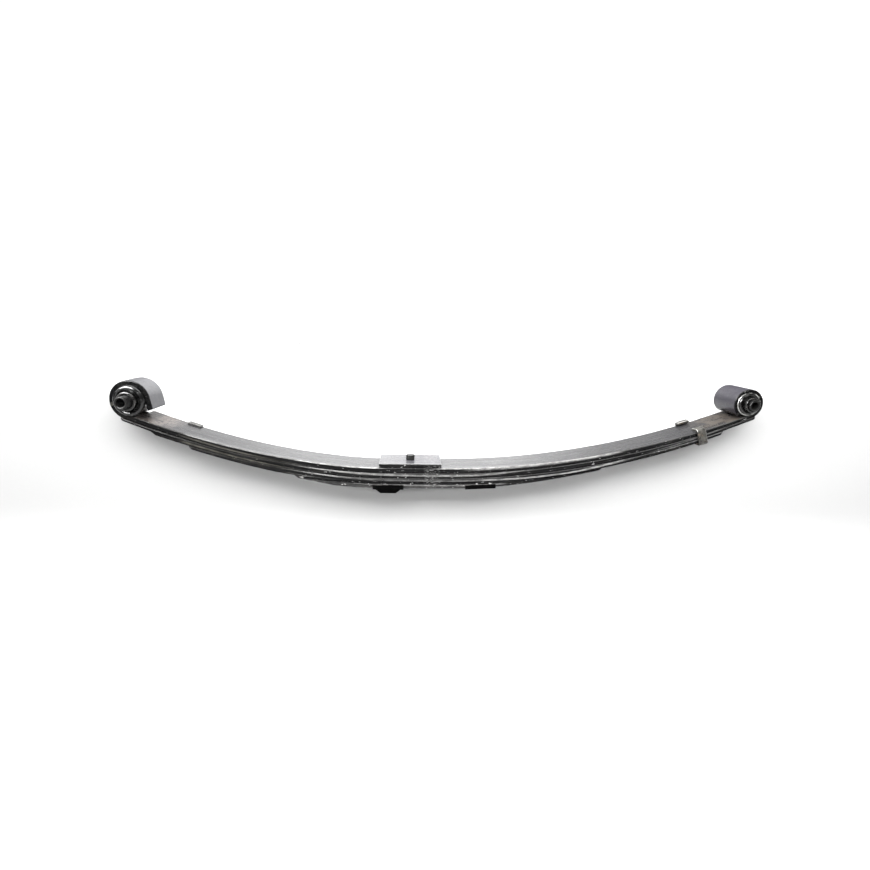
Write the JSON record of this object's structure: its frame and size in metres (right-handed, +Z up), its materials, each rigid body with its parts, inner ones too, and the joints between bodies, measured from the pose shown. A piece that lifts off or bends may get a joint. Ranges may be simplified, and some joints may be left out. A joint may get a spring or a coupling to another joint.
{
  "type": "leaf spring",
  "caption": "Multi-leaf suspension spring, curved upwards to a bushed eye at each end, with a seat plate and centre bolt in the middle and clips round the arms.",
  "frame": {"origin": "on the centre bolt's axis, in the plane of the axle seat (the seat plate's top face)", "axes": "+X along the spring towards the small rear eye, +Y across the leaves towards the side with the guide clip, +Z up along the centre bolt"},
  "size_m": [1.0721, 0.1089, 0.188],
  "materials": {
    "leaf_steel": "worn black paint on spring steel",
    "plate_steel": "semi-gloss grey-black paint",
    "bolt_steel": "black oxide",
    "sleeve_steel": "dull turned steel",
    "clip_steel": "worn paint with brown tint",
    "bush_rubber": "glossy black",
    "pad_rubber": "matt black"
  },
  "bodies": {
    "spring_pack": {"main_leaf": "leaf_steel", "second_leaf": "leaf_steel", "third_leaf": "leaf_steel", "fourth_leaf": "leaf_steel", "seat_plate": "plate_steel", "centre_bolt": "bolt_steel", "centre_nut": "bolt_steel", "front_bush_near": "bush_rubber", "front_bush_far": "bush_rubber", "rear_shell": "plate_steel", "rear_rubber": "bush_rubber", "rear_clip": "clip_steel", "rear_clip_rivet": "clip_steel", "guide_clip": "clip_steel", "guide_clip_rivet": "clip_steel", "front_pad": "pad_rubber", "rear_pad": "pad_rubber"},
    "front_sleeve_body": {"front_sleeve": "sleeve_steel"},
    "rear_sleeve_body": {"rear_sleeve": "sleeve_steel"}
  },
  "joints": [
    {"name": "front_sleeve_turn", "type": "hinge", "parent": "spring_pack", "child": "front_sleeve_body", "pos_m": [-0.4478, -0.00838, 0.10031], "axis": [0, 1, 0], "continuous": true},
    {"name": "rear_sleeve_twist", "type": "hinge", "parent": "spring_pack", "child": "rear_sleeve_body", "pos_m": [0.56712, 0, 0.11153], "axis": [0, 1, 0], "range_deg": [-20, 20], "stiffness_Nm_per_rad": 0.5}
  ]
}
